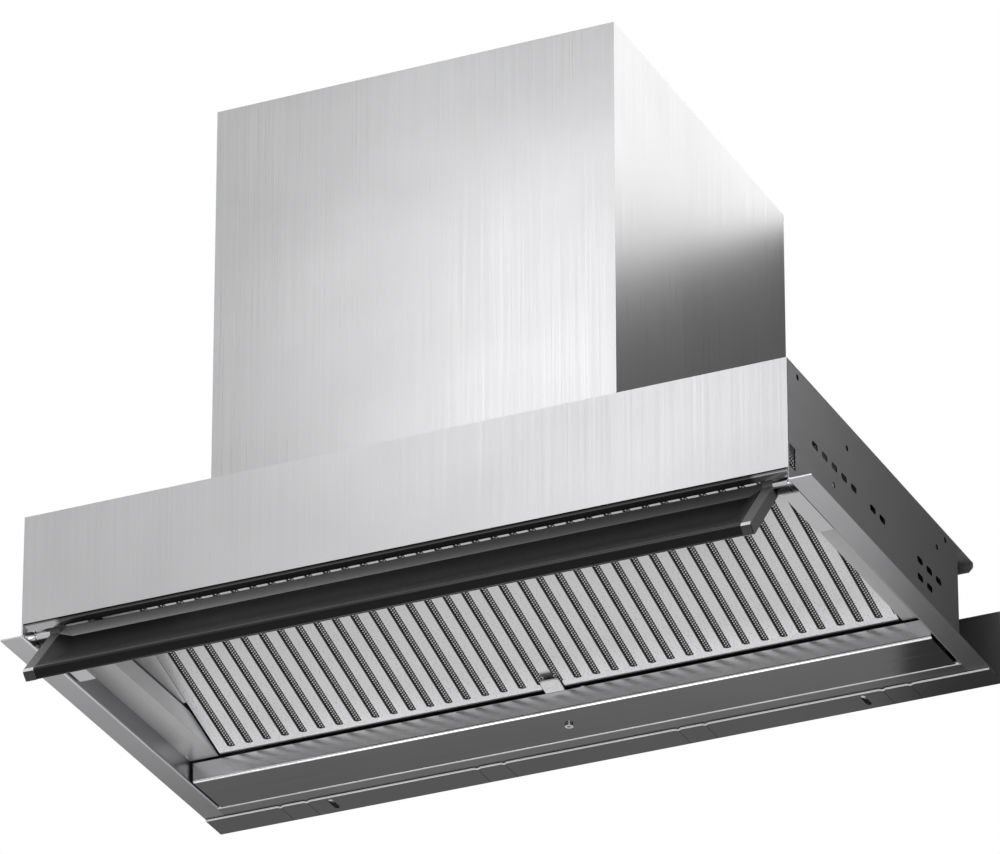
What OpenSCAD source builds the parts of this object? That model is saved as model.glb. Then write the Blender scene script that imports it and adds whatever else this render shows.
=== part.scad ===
// Pull out range hood for a wall cabinet: a shallow steel case with a slotted grease filter,
// a fold-out visor along its front edge, a blower casing on top and a filler strip behind.
// Millimetres. X is along the front, to the right as seen by the cook, Y runs back from the
// front face and Z is up. The origin is the middle of the front edge of the seat on which the
// cabinet stands on the flange.

/* [Case] */
// Width over the two side walls
case_w = 562; // [544:2:610]
// Depth from the front face to the back of the rear wall
case_d = 301.5; // [298:0.5:320]
// Height of the case above the top of its flange
case_h = 89.5; // [88:0.5:96]
// Thickness of the case sheet
sheet = 1; // [0.8:0.1:1.1]
// Width of the flange outside each side wall
flange_w = 16; // [10:0.5:24]
// Width of the rail behind the rear wall
rail_w = 24; // [23.5:0.5:25]
// Height of the gap below the front panel, measured from the seat
panel_z = 8.4; // [8:0.1:9]

/* [Punched holes] */
// Length of a punched hole in the side wall
punch_l = 10.2; // [6:0.2:12]
// Height of a punched hole in the side wall
punch_h = 4.8; // [3:0.2:6]
// Distance between two punched holes
punch_pitch = 16.8; // [15:0.1:17]
// Height of the upper row of punched holes
punch_z = 45.5; // [42:0.1:48]

/* [Recess] */
// Width of the ledge along each side wall
ledge_w = 21; // [19:0.5:24]
// Height of the ledge above the seat
ledge_z = 15.7; // [15:0.1:17]
// Depth of the closed channel in front of the rear wall
channel_d = 46; // [40:0.5:48]
// Height of the channel's front wall above the seat
channel_h = 13.8; // [12:0.1:14.2]

/* [Visor] */
// Distance from the hinge axis to the edge of the visor
visor_l = 65.5; // [56:0.5:68]
// Radius of the hinge barrels
barrel_r = 6.7; // [6.4:0.1:7]
// Radius of the hinge pins
hinge_pin_r = 3; // [2:0.1:4]
// Angle that the visor is folded out from its closed place
visor_swing = 131; // [100:1:138]
// Greatest depth of the visor's trough
trough_d = 4.3; // [2:0.1:5]

/* [Filter] */
// Width of the filter cassette
filter_w = 512; // [480:1:514]
// Length of the filter cassette along its slope
filter_l = 198; // [192:0.5:200]
// Thickness of the filter cassette
filter_t = 8; // [7:0.1:9]
// Slope of the filter cassette
filter_tilt = 17.3; // [16.5:0.1:17.6]
// Number of slots
slot_count = 36; // [20:2:36]
// Distance between two slots
slot_pitch = 13.95; // [13:0.05:14]
// Width of a slot
slot_w = 5.1; // [3:0.1:7]

/* [Casing] */
// Width of the blower casing
casing_w = 300; // [290:1:320]
// Depth of the blower casing
casing_d = 298; // [296:1:302]
// Height of the blower casing above the case
casing_h = 297; // [285:1:330]
// Distance of the blower casing behind the front face
casing_y = 20.5; // [15:0.5:24]
// Outer radius of the duct collar
collar_r = 74.5; // [70:0.5:75]
// Height of the duct collar above the casing
collar_h = 35; // [30:1:38]

/* [Blower] */
// Radius of the impeller
impeller_r = 66; // [60:1:66]
// Number of blades in the impeller
blade_count = 32; // [20:2:40]
// Half of the width of the blower housing
scroll_half_w = 62; // [55:1:66]

/* [Rear filler] */
// Depth of the filler's foot
filler_d = 24.8; // [22:0.1:26]
// Height of the filler's upstand
filler_h = 54.3; // [30:0.1:60]

/* [Hidden] */
$fn = 48;

// Overrun of every cut
cut = 1;
// Gap left between a piece and one that moves past it
slip = 0.3;
// Radial clearance of a pin in its bore
running = 0.05;
// Radius inside a bend of the sheet
bend_r = 1;

// Half widths and levels that several pieces share
half_w = case_w / 2;
inner_w = half_w - sheet;
rear_inner = case_d - sheet;
casing_z = case_h;
casing_top_z = case_h + casing_h;
casing_half = casing_w / 2;
casing_rear = casing_y + casing_d;
channel_y = case_d - channel_d;

// Places of the holes in the side walls
punch_y = 46.5;
punch_steps = [0, 1, 2, 3, 4, 6, 7, 11, 12, 13];
punch_low_steps = [11, 12];
punch_low_drop = 12.8;
pilot_r = 2.15;
pilot_top_drop = 6.6;
pilot_front = 18.3;
pilot_rear = 22.2;
pilot_mid_drop = 19;
pilot_mid_front = 103;
pilot_mid_rear = 38.1;
pilot_low_y = 78.3;
pilot_low_z = 31.4;

// Notched window near the front of each side wall
window_y = 2.1;
window_l = 10.2;
window_z = 10.4;
window_h = 16.4;
window_tooth = 1.4;
window_tooth_count = 3;

// Front panel and the rolled strip below it
panel_return = 14;
fold_margin = 2;
strip_r = 23;
strip_start = 40;
strip_sweep = 18;
strip_step = 0.3;
strip_gap = 0.8;
strip_web = 12;
strip_z = panel_z - strip_gap;

// Top sheet, its air opening and the hanging lip behind it
top_overhang = 29.8;
top_lip = 7;
top_lip_chamfer = 4.5;
air_margin = 16;

// Rear wall opening for the cable
cable_r = 9;
cable_x = 200;
cable_drop = 20;
gland_head = 3;
gland_reach = 12;
gland_nut_r = 14;
gland_hole_r = 4;

// Side liners
liner_rise = 16.6;
liner_upstand = 11;
liner_front = 24.5;
liner_slope_start = 52.1;
liner_rear_gap = 0.5;
baffle_front = 22;
baffle_side = 4;

// Channel in front of the rear wall
channel_side_gap = 2;
channel_lip = 10;
channel_screw_r = 1.75;
screw_head_r = 3;
screw_head_h = 1.6;
screw_l = 9;
stop_x = 19;
stop_w = 2.4;
stop_h = 0.7;

// Visor hinge
hinge_y = 17;
hinge_z = 6.1;
hub_w = 3.5;
hub_gap = 1;
barrel_w = 10.5;
cap_w = 7.5;
pin_reach = 15.5;
visor_half = inner_w - hub_w - hub_gap - barrel_w;
tray_half = visor_half - cap_w;
cover_gap_wall = 1.3;
cover_gap_visor = 1.5;
cover_z = 1.5;
cover_front = 24;
cover_rear = 83;
cover_hem = 2;
cover_web_y = 25;

// Section of the visor, with the trough below and the back above when it is closed
visor_drop = 1.9;
visor_crown_r = 2.5;
visor_heel_r = 1.6;
tray_start = 3;
lip_l = 4.2;
lip_short = 0.8;
band_l = 9;
band_share = 0.72;
rim_share = 0.12;
trough_rim = 1.2;
trough_end = 12;
trough_steps = 12;

// Lamp behind the visor
lamp_rear_gap = 2.5;
lamp_drop = 8;
lamp_y = 26;
lamp_d = 18;
lamp_half_w = 210;
lamp_h = 5;
lens_h = 1.5;
lens_rim = 2;

// Filter cassette
filter_gap = 1.7;
filter_lift = 0.1;
filter_wall = 1;
face_t = 1;
slot_rear = 5.6;
slot_front = 14;
slot_corner = 1.3;
corner_steps = 3;
mesh_t = 2.4;
mesh_gap = 0.1;
back_cell = 46;
back_rib = 5;
back_rows = 3;
back_columns = 8;
peg_r = 2.5;
peg_y = 5;
peg_reach = 5.5;
hanger_gap = 1.5;
hanger_t = 3;
hanger_w = 14;
hanger_drop = 6;
hanger_foot = 9;

// Latch of the filter and the finger dimple in front of it
latch_w = 14;
latch_back = 10;
latch_nose = 1.85;
latch_drop = 1.6;
latch_under = 0.3;
latch_corner = 2;
latch_stem_w = 7.6;
latch_stem_back = 9.5;
latch_stem_nose = 0.4;
latch_stem_t = 1.2;
latch_travel = 4.5;
notch_w = 16.4;
notch_l = 5.6;
dimple_l = 14;
dimple_rise = 3.2;
dimple_curve = 1.6;
dimple_steps = 7;
cover_w = 24;
cover_l = 26;
cover_t = 1;
cover_high = 5.9;
spring_t = 0.4;
spring_half_w = 3.4;
spring_folds = 6;
screw_recess = 0.5;

// Duct collar and its back-draught flaps
collar_wall = 1.5;
collar_brim = 12;
collar_y = 180;
collar_brim_t = 1.5;
flap_t = 1.2;
flap_z = 6;
flap_edge_gap = 1.2;
flap_pin_r = 1.5;
knuckle_r = 3;
knuckle_w = 18;
knuckle_gap = 0.4;
flap_gap = 3.6;
flap_seat = 2;
flap_seat_w = 4;

// Blower housing
scroll_y = 115;
scroll_drop = 137;
scroll_t = 1.5;
scroll_start = 75;
scroll_r0 = impeller_r + 5 * sheet;
scroll_grow = 41;
scroll_steps = 38;
scroll_flange = 8;
inlet_r = 50;
inlet_bead = 4;
impeller_half = 52;
impeller_disc = 2;
impeller_ring = 3;
impeller_rim = 0.6;
blade_depth = 13;
blade_t = 1.2;
blade_lean = 24;
blade_steps = 5;
hub_r = 12;
hub_half = 14;
shaft_r = 4;
shaft_end = 9;
motor_r = 38;
motor_l = 46;
motor_gap = 6;
motor_boss_r = 14;
motor_boss_l = 5;
motor_fins = 12;
motor_fin_h = 3;
motor_fin_w = 2.4;
arm_w = 12;
arm_t = 2;
arm_count = 3;
arm_ring_r = 66;
foot_w = 10;

// Casing panels
casing_sheet = 1;
casing_fold = 12;
casing_seam = 0.1;
screw_rows = 3;
screw_inset = 40;
back_screw_r = 3;
back_screw_h = 2;

// Control box inside the case
control_x = 150;
control_w = 90;
control_l = 60;
control_h = 24;
control_rear = 20;

// Rear filler
filler_y = case_d + 12.5 * sheet;
filler_notches = 4;
notch_pair = 20.5;
notch_step = 152.4;
notch_half = 2.4;
notch_depth = 1.5;
adjust_x = 202;
adjust_l = 15.5;
adjust_half = 1.95;
adjust_front = 3.5;
adjust_screw_y = 6;
score_w = 0.4;
score_depth = 0.25;

// Places worked out from the sizes above
filter_rear_y = channel_y - filter_gap;
filter_rear_z = ledge_z + filter_lift;
filter_half = filter_w / 2;
scroll_z = casing_top_z - scroll_drop;
top_gap = casing_top_z - casing_sheet - scroll_z;
knuckle_z = casing_top_z + flap_z;
dimple_w = slot_pitch - slot_w;
stem_low = face_t + cover_high - cover_t - slip - latch_stem_t + slip / 2;
cover_low = face_t + mesh_gap + mesh_t + mesh_gap;

// Outline in Y and Z drawn out along X
module span_x(from, to) {
  translate([from, 0, 0])
    rotate([90, 0, 90])
      linear_extrude(to - from)
        children();
}

// Outline in X and Z drawn out along Y
module span_y(from, to) {
  translate([0, to, 0])
    rotate([90, 0, 0])
      linear_extrude(to - from)
        children();
}

// Block between two opposite corners
module block(low, high) {
  translate(low)
    cube(high - low);
}

// Rectangle between two opposite corners
module area(low, high) {
  translate(low)
    square(high - low);
}

// Rod along X
module rod_x(from, to, r) {
  translate([from, 0, 0])
    rotate([0, 90, 0])
      cylinder(h = to - from, r = r);
}

// Sheet that stands at x = 0 and folds outward at its foot
module flanged_sheet(high, wide) {
  area([-sheet, bend_r], [0, high]);
  area([bend_r, -sheet], [wide, 0]);
  intersection() {
    translate([bend_r, bend_r])
      difference() {
        circle(bend_r + sheet);
        circle(bend_r);
      }
    area([-sheet, -sheet], [bend_r, bend_r]);
  }
}

// Hole with round ends, long along Y, through a side wall
module punched(y, z) {
  grow = (punch_l - punch_h) / 2;
  for (side = [-1, 1])
    translate([inner_w - cut, y + side * grow, z])
      rod_x(0, sheet + 2 * cut, punch_h / 2);
  block([inner_w - cut, y - grow, z - punch_h / 2], [half_w + cut, y + grow, z + punch_h / 2]);
}

// Small round hole through a side wall
module pilot(y, z) {
  translate([inner_w - cut, y, z])
    rod_x(0, sheet + 2 * cut, pilot_r);
}

// Right side wall: upright sheet, outward flange and the fixing holes
module side_wall() {
  difference() {
    union() {
      span_y(0, case_d)
        translate([half_w, 0])
          flanged_sheet(case_h - sheet, flange_w);
      block([half_w + bend_r, case_d, -sheet], [half_w + flange_w, case_d + rail_w, 0]);
    }
    block([inner_w - cut, -cut, panel_z], [half_w + cut, sheet, case_h + cut]);
    for (step = punch_steps)
      punched(punch_y + step * punch_pitch, punch_z);
    for (step = punch_low_steps)
      punched(punch_y + step * punch_pitch, punch_z - punch_low_drop);
    pilot(pilot_front, case_h - pilot_top_drop);
    pilot(case_d - pilot_rear, case_h - pilot_top_drop);
    pilot(pilot_mid_front, case_h - pilot_mid_drop);
    pilot(case_d - pilot_mid_rear, case_h - pilot_mid_drop);
    pilot(pilot_low_y, pilot_low_z);
    difference() {
      block([inner_w - cut, window_y, window_z], [half_w + cut, window_y + window_l, window_z + window_h]);
      for (tooth = [1 : window_tooth_count])
        translate([inner_w - cut, window_y + window_l, window_z + window_h * tooth / (window_tooth_count + 1)])
          rod_x(-cut, sheet + 3 * cut, window_tooth / 2);
    }
  }
}

module side_wall_right() {
  color("dimgray")
    side_wall();
}

module side_wall_left() {
  color("dimgray")
    mirror([1, 0, 0])
      side_wall();
}

// Top sheet with the air opening under the blower casing and a lip behind
module case_top() {
  color("gray")
    difference() {
      union() {
        block([-half_w, sheet, case_h - sheet], [half_w, case_d + top_overhang, case_h]);
        block([-half_w, case_d + top_overhang - sheet, case_h - top_lip],
              [half_w, case_d + top_overhang, case_h]);
      }
      block([air_margin - casing_half, casing_y + air_margin, case_h - sheet - cut],
            [casing_half - air_margin, rear_inner - air_margin, case_h + cut]);
      for (side = [-1, 1])
        scale([side, 1, 1])
          translate([half_w, case_d + top_overhang - sheet - cut, case_h - top_lip])
            rotate([0, 45, 0])
              translate([-top_lip_chamfer / 2, 0, -top_lip_chamfer / 2])
                cube([top_lip_chamfer, sheet + 2 * cut, top_lip_chamfer]);
    }
}

// Rear wall with its rail and the cable hole
module case_back() {
  color("dimgray")
    difference() {
      intersection() {
        span_x(-half_w - bend_r, half_w + bend_r)
          translate([case_d, 0])
            flanged_sheet(case_h - sheet, rail_w);
        union() {
          block([-inner_w, 0, -sheet - cut], [inner_w, case_d + bend_r, case_h]);
          block([-half_w - bend_r, case_d, -sheet - cut], [half_w + bend_r, case_d + rail_w, bend_r]);
        }
      }
      translate([cable_x, rear_inner - cut, case_h - cable_drop])
        rotate([-90, 0, 0])
          cylinder(h = sheet + 2 * cut, r = cable_r);
      for (side = [-1, 1])
        translate([side * adjust_x, filler_y + adjust_screw_y, -sheet - cut])
          cylinder(h = sheet + 2 * cut, r = channel_screw_r);
    }
}

// Front panel with its folded sides
module front_panel() {
  color("silver") {
    block([-half_w, 0, panel_z], [half_w, sheet, case_h]);
    for (side = [0, 1])
      mirror([side, 0, 0])
        block([inner_w - sheet, sheet, window_z + window_h + fold_margin], [inner_w, panel_return, case_h - sheet]);
  }
}

// Curved strip that leans back below the front panel, with the web that carries it
module front_return() {
  centre = [strip_step + strip_r * cos(strip_start), strip_z + strip_r * sin(strip_start)];
  color("silver")
    span_x(-inner_w, inner_w) {
      area([sheet, strip_z - sheet / 2], [2 * sheet, strip_z + strip_web]);
      intersection() {
        translate(centre)
          difference() {
            circle(strip_r, $fn = 4 * $fn);
            circle(strip_r - sheet, $fn = 4 * $fn);
          }
        polygon([
          centre,
          centre - 2 * strip_r * [cos(strip_start), sin(strip_start)],
          centre - 2 * strip_r * [cos(strip_start + strip_sweep), sin(strip_start + strip_sweep)]
        ]);
      }
    }
}

// Liner along the right side wall: ledge, inner wall that follows the filter, outer fold
module liner() {
  inner = inner_w - ledge_w;
  intersection() {
    span_y(liner_front, channel_y - liner_rear_gap) {
      area([inner, ledge_z], [inner_w, ledge_z + sheet]);
      area([inner - sheet, ledge_z], [inner, ledge_z + liner_rise]);
      area([inner_w - sheet, ledge_z], [inner_w, ledge_z + liner_upstand]);
    }
    union() {
      block([inner, 0, ledge_z], [half_w, case_d, case_h]);
      span_x(inner - 2 * sheet, inner)
        polygon([
          [0, ledge_z],
          [channel_y, ledge_z],
          [channel_y - liner_slope_start, ledge_z + liner_slope_start * tan(filter_tilt)],
          [0, ledge_z + liner_rise]
        ]);
    }
  }
}

module liner_right() {
  color("silver")
    liner();
}

module liner_left() {
  color("silver")
    mirror([1, 0, 0])
      liner();
}

// Sheet beside the filter in the plane of its face, hung by a web from the top sheet
module filter_baffle() {
  outer = inner_w - baffle_side;
  front = baffle_front - filter_l;
  rear = (filter_lift - liner_rise - slip) / sin(filter_tilt);
  in_filter()
    block([filter_half + 2 * slip, front, 0], [outer, rear, face_t]);
  intersection() {
    block([outer - sheet, 0, ledge_z], [outer, case_d, case_h - sheet]);
    in_filter()
      block([0, front + sheet, face_t / 2], [half_w, rear - sheet, case_h]);
  }
}

module filter_baffle_right() {
  color("lightgray")
    filter_baffle();
}

module filter_baffle_left() {
  color("lightgray")
    mirror([1, 0, 0])
      filter_baffle();
}

// Closed channel in front of the rear wall
module rear_channel() {
  reach = rear_inner - channel_y - sheet;
  color("dimgray")
    difference() {
      union() {
        span_x(channel_side_gap - inner_w, inner_w - channel_side_gap) {
          translate([channel_y + sheet, 0])
            flanged_sheet(channel_h, reach);
          area([rear_inner - sheet, -sheet], [rear_inner, channel_lip]);
        }
        block([stop_x, channel_y, channel_h - sheet], [stop_x + stop_w, channel_y + sheet, channel_h + stop_h]);
      }
      translate([0, channel_y + channel_d / 2, -sheet - cut])
        cylinder(h = sheet + 2 * cut, r = channel_screw_r);
    }
}

// Pan head screw with a shank, pointing up
module screw_up(head_r, head_h, shank_r, shank_l) {
  difference() {
    cylinder(h = head_h, r = head_r);
    translate([0, 0, -cut])
      cylinder(h = cut + head_h / 2, r = head_r / 2, $fn = 6);
  }
  translate([0, 0, head_h / 2 + head_h / 4])
    cylinder(h = shank_l - head_h / 2, r = shank_r);
}

module channel_screw() {
  color("lightgray")
    translate([0, channel_y + channel_d / 2, -sheet - screw_head_h])
      screw_up(screw_head_r, screw_head_h, channel_screw_r - running, screw_l);
}

// Strip that covers the hinge mechanism beside the closed visor
module hinge_cover() {
  inside = visor_half + cover_gap_visor;
  outside = inner_w - cover_gap_wall;
  block([inside, cover_front, cover_z], [outside, cover_rear, cover_z + sheet]);
  block([inside, cover_front, cover_z], [inside + sheet, cover_rear, cover_z + cover_hem]);
  block([outside - sheet, cover_web_y, cover_z], [outside, cover_rear, ledge_z]);
}

module hinge_cover_right() {
  color("silver")
    hinge_cover();
}

module hinge_cover_left() {
  color("silver")
    mirror([1, 0, 0])
      hinge_cover();
}

// Hub on the side wall with the pin on which the visor turns
module hinge_stud() {
  translate([0, hinge_y, hinge_z]) {
    rod_x(inner_w - hub_w, inner_w, barrel_r);
    rod_x(inner_w - hub_w - pin_reach, inner_w - hub_w / 2, hinge_pin_r);
  }
}

module hinge_stud_right() {
  color("dimgray")
    hinge_stud();
}

module hinge_stud_left() {
  color("dimgray")
    mirror([1, 0, 0])
      hinge_stud();
}

// Places a piece of the visor, which is drawn closed with its trough facing down
module in_visor() {
  translate([0, hinge_y, hinge_z])
    rotate([-visor_swing, 0, 0])
      children();
}

// Section of the visor's blade from start to end along its length
module blade_section(start, end) {
  area([start, visor_crown_r - visor_drop], [end, barrel_r - visor_heel_r]);
  area([start, -visor_drop], [end - visor_crown_r, barrel_r]);
  translate([end - visor_crown_r, visor_crown_r - visor_drop])
    circle(visor_crown_r);
  translate([end - visor_heel_r, barrel_r - visor_heel_r])
    circle(visor_heel_r);
  area([end - visor_crown_r, visor_crown_r - visor_drop], [end - visor_heel_r, barrel_r]);
}

// Height of the trough's floor over the visor's face, from 0 at the crease to 1 at the rim
function trough_floor(s) = trough_d * (band_share + (1 - band_share) * sin(180 * min(1, 1.2 * s))
  - (band_share - rim_share) * s * s * s);

// Outline of the trough: a flat band by the hinge, a crease, then a curved floor to the rim
function trough_outline() = let (
    rim = visor_l - lip_l - trough_rim,
    start = trough_rim - tray_start
  ) concat(
    [[start, -visor_drop - cut], [start, -visor_drop]],
    [for (i = [0 : trough_steps]) let (s = i / trough_steps)
      [band_l + s * (rim - band_l), trough_floor(s) - visor_drop]],
    [[rim, -visor_drop - cut]]
  );

// Tray of the visor, hollowed from its face
module visor_tray() {
  color("#222325")
    in_visor()
      difference() {
        span_x(-tray_half, tray_half)
          area([-tray_start, -visor_drop], [visor_l - lip_l, barrel_r]);
        intersection() {
          span_x(-tray_half, tray_half)
            polygon(trough_outline());
          span_y(-tray_start, visor_l)
            polygon([
              [trough_rim - tray_half, -visor_drop - cut],
              [tray_half - trough_rim, -visor_drop - cut],
              [tray_half - trough_rim, -visor_drop],
              [tray_half - trough_rim - trough_end, trough_d - visor_drop + slip],
              [trough_rim + trough_end - tray_half, trough_d - visor_drop + slip],
              [trough_rim - tray_half, -visor_drop]
            ]);
        }
      }
}

// Grip along the edge of the visor
module visor_lip() {
  color("black")
    in_visor()
      span_x(-tray_half, tray_half)
        intersection() {
          blade_section(visor_l - 2 * lip_l, visor_l - lip_short);
          area([visor_l - lip_l, -barrel_r], [visor_l, 2 * barrel_r]);
        }
}

// End cap of the visor with its hinge eye
module visor_cap() {
  in_visor()
    difference() {
      span_x(tray_half, visor_half) {
        blade_section(0, visor_l);
        circle(barrel_r);
      }
      rod_x(inner_w - hub_w - pin_reach - running, visor_half + cut, hinge_pin_r + running);
    }
}

module visor_cap_right() {
  color("#303234")
    visor_cap();
}

module visor_cap_left() {
  color("#303234")
    mirror([1, 0, 0])
      visor_cap();
}

// Barrel of the hinge, fixed to the end cap
module visor_barrel() {
  in_visor()
    difference() {
      rod_x(visor_half, visor_half + barrel_w, barrel_r);
      rod_x(visor_half - cut, visor_half + barrel_w + cut, hinge_pin_r + running);
    }
}

module visor_barrel_right() {
  color("silver")
    visor_barrel();
}

module visor_barrel_left() {
  color("silver")
    mirror([1, 0, 0])
      visor_barrel();
}

// Sheet in front of the filter that holds the lamp
module light_panel() {
  rear = filter_front_y() - lamp_rear_gap;
  low = case_h - sheet - lamp_drop;
  color("silver")
    difference() {
      union() {
        block([sheet - inner_w, 2 * sheet, low], [inner_w - sheet, rear, low + sheet]);
        block([sheet - inner_w, rear - sheet, low], [inner_w - sheet, rear, case_h - sheet]);
      }
      block([lens_rim - lamp_half_w, lamp_y + lens_rim, low - cut],
            [lamp_half_w - lens_rim, lamp_y + lamp_d - lens_rim, low + sheet + cut]);
      block([-inner_w, 0, low - cut], [slip + sheet - inner_w, panel_return + slip, low + sheet + cut]);
      block([inner_w - sheet - slip, 0, low - cut], [inner_w, panel_return + slip, low + sheet + cut]);
    }
}

module light_bar() {
  low = case_h - lamp_drop;
  color("whitesmoke")
    block([-lamp_half_w, lamp_y, low], [lamp_half_w, lamp_y + lamp_d, low + lamp_h]);
}

module light_lens() {
  low = case_h - sheet - lamp_drop;
  color("white")
    block([lens_rim - lamp_half_w, lamp_y + lens_rim, low + sheet - lens_h],
          [lamp_half_w - lens_rim, lamp_y + lamp_d - lens_rim, low + sheet]);
}

// Places a piece of the filter, drawn flat with its slotted face down and its rear edge at y = 0
module in_filter() {
  translate([0, filter_rear_y, filter_rear_z])
    rotate([-filter_tilt, 0, 0])
      children();
}

// Front end of the filter's slope, measured from the front face
function filter_front_y() = filter_rear_y - filter_l * cos(filter_tilt);

// Rectangle with its corners cut round in short steps
function round_box(x0, y0, x1, y1, r) = [
  for (corner = [[x1 - r, y1 - r, 0], [x0 + r, y1 - r, 90], [x0 + r, y0 + r, 180], [x1 - r, y0 + r, 270]])
    for (i = [0 : corner_steps])
      [corner[0] + r * cos(corner[2] + 90 * i / corner_steps), corner[1] + r * sin(corner[2] + 90 * i / corner_steps)]
];

// Height of the finger dimple over the slotted face, s from 0 in front to 1 at its deep end
function dimple_z(s) = dimple_rise * pow(s, dimple_curve);

// Place along the filter for the same s
function dimple_y(s) = (s - 1) * dimple_l - notch_l;

// Slotted face of the cassette, its middle land pressed in before the latch
module filter_face() {
  color("lightgray")
    in_filter() {
      linear_extrude(face_t)
        difference() {
          area([-filter_half, -filter_l], [filter_half, 0]);
          for (i = [0 : slot_count - 1]) {
            x = (i - (slot_count - 1) / 2) * slot_pitch;
            polygon(round_box(x - slot_w / 2, slot_front - filter_l, x + slot_w / 2, -slot_rear, slot_corner));
          }
          area([-notch_w / 2, -notch_l], [notch_w / 2, cut]);
          area([-dimple_w / 2, dimple_y(0)], [dimple_w / 2, 0]);
          area([-slot_pitch / 2, -notch_l - slot_corner], [slot_pitch / 2, 0]);
        }
      span_x(-dimple_w / 2, dimple_w / 2)
        polygon(concat(
          [[dimple_y(0) - slip, 0]],
          [for (i = [0 : dimple_steps]) let (s = i / dimple_steps) [dimple_y(s), dimple_z(s)]],
          [for (i = [dimple_steps : -1 : 0]) let (s = i / dimple_steps) [dimple_y(s), dimple_z(s) + face_t]],
          [[dimple_y(0) - slip, face_t]]
        ));
    }
}

// Layers of aluminium mesh behind the slots
module filter_mesh() {
  edge = filter_half - filter_wall - mesh_gap;
  color("darkgray")
    in_filter()
      difference() {
        block([-edge, filter_wall + mesh_gap - filter_l, face_t + mesh_gap],
              [edge, -filter_wall - mesh_gap, face_t + mesh_gap + mesh_t]);
        block([-dimple_w / 2 - slip, dimple_y(0) - slip, 0], [dimple_w / 2 + slip, cut, filter_t]);
        block([-notch_w / 2 - slip, -notch_l - slip, 0], [notch_w / 2 + slip, cut, filter_t]);
      }
}

// Upright rim of the cassette
module filter_frame() {
  color("silver")
    in_filter()
      translate([0, 0, face_t])
        linear_extrude(filter_t - face_t)
          difference() {
            area([-filter_half, -filter_l], [filter_half, 0]);
            area([filter_wall - filter_half, filter_wall - filter_l], [filter_half - filter_wall, -filter_wall]);
            area([-cover_w / 2 - slip, -2 * filter_wall], [cover_w / 2 + slip, cut]);
          }
}

// Open grid that holds the mesh from behind
module filter_back() {
  edge = filter_half - filter_wall - mesh_gap;
  span = 2 * edge / back_columns;
  row = (filter_l - 2 * filter_wall - cover_l - back_rib) / back_rows;
  color("darkgray")
    in_filter()
      translate([0, 0, filter_t - sheet])
        linear_extrude(sheet)
          difference() {
            area([-edge, filter_wall + mesh_gap - filter_l], [edge, -filter_wall - mesh_gap]);
            for (i = [0 : back_columns - 1])
              for (j = [0 : back_rows - 1])
                area([back_rib - edge + i * span, back_rib + filter_wall - filter_l + j * row],
                     [span - edge + i * span, filter_wall - filter_l + (j + 1) * row]);
            area([-cover_w / 2 - slip, -cover_l - slip], [cover_w / 2 + slip, cut]);
          }
}

// Pegs at the front corners on which the filter swings down
module filter_pegs() {
  color("silver")
    in_filter()
      for (side = [0, 1])
        mirror([side, 0, 0])
          translate([0, peg_y - filter_l, filter_t / 2])
            rod_x(filter_half, filter_half + peg_reach, peg_r);
}

// Ear under the top sheet that carries one peg
module filter_hanger() {
  inside = filter_half + hanger_gap;
  difference() {
    in_filter()
      translate([inside, peg_y - filter_l, filter_t / 2])
        rod_x(0, hanger_t, hanger_w / 2);
    in_filter()
      translate([inside - cut, peg_y - filter_l, filter_t / 2])
        rod_x(0, hanger_t + 2 * cut, peg_r + running);
    block([inside - cut, 0, case_h - sheet - sheet], [inside + hanger_t + cut, case_d, case_h]);
  }
  difference() {
    block([inside, filter_front_y() - lamp_rear_gap, case_h - sheet - hanger_drop],
          [inside + hanger_foot, filter_front_y() + hanger_w, case_h - sheet]);
    block([inside + hanger_t, 0, 0], [inside + hanger_foot + cut, case_d, case_h - 2 * sheet]);
    in_filter()
      translate([inside - cut, peg_y - filter_l, filter_t / 2])
        rod_x(0, hanger_t + 2 * cut, peg_r + running);
  }
}

module filter_hanger_right() {
  color("gray")
    filter_hanger();
}

module filter_hanger_left() {
  color("gray")
    mirror([1, 0, 0])
      filter_hanger();
}

// Cover inside the cassette in which the latch slides
module latch_cover() {
  color("#2a2c2e")
    in_filter()
      difference() {
        block([-cover_w / 2, -cover_l, cover_low], [cover_w / 2, 0, face_t + cover_high]);
        block([cover_t - cover_w / 2, cover_t - cover_l, cover_low - cut],
              [cover_w / 2 - cover_t, cut, face_t + cover_high - cover_t]);
      }
}

// Tongue of the latch, with the stem that runs back over the dimple into the cover
module filter_latch() {
  high = face_t + cover_high - cover_t - slip / 2;
  color("gainsboro")
    in_filter() {
      intersection() {
        translate([0, 0, -latch_drop])
          linear_extrude(latch_drop - latch_under)
            polygon(round_box(-latch_w / 2, -latch_back, latch_w / 2, latch_nose + latch_corner, latch_corner));
        span_x(-latch_w, latch_w)
          polygon([
            [-latch_back, -latch_under],
            [-latch_back, latch_under - latch_drop],
            [latch_under - latch_back, -latch_drop],
            [latch_nose, -latch_drop],
            [latch_nose - latch_under, -latch_under]
          ]);
      }
      block([-latch_stem_w / 2, latch_stem_nose - latch_stem_t, -latch_under],
            [latch_stem_w / 2, latch_stem_nose, high]);
      block([-latch_stem_w / 2, -latch_stem_back, stem_low], [latch_stem_w / 2, latch_stem_nose, high]);
    }
}

// Folded strip spring between the latch's stem and the end of its cover
module latch_spring() {
  step = (cover_l - cover_t - latch_stem_back) / spring_folds;
  bend = [for (i = [0 : spring_folds]) [spring_half_w * (i % 2 == 0 ? -1 : 1), -latch_stem_back - i * step]];
  color("silver")
    in_filter()
      translate([0, 0, stem_low])
        linear_extrude(latch_stem_t)
          polygon(concat(
            [for (p = bend) p + [spring_t, 0]],
            [for (i = [spring_folds : -1 : 0]) bend[i] - [spring_t, 0]]
          ));
}

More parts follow.
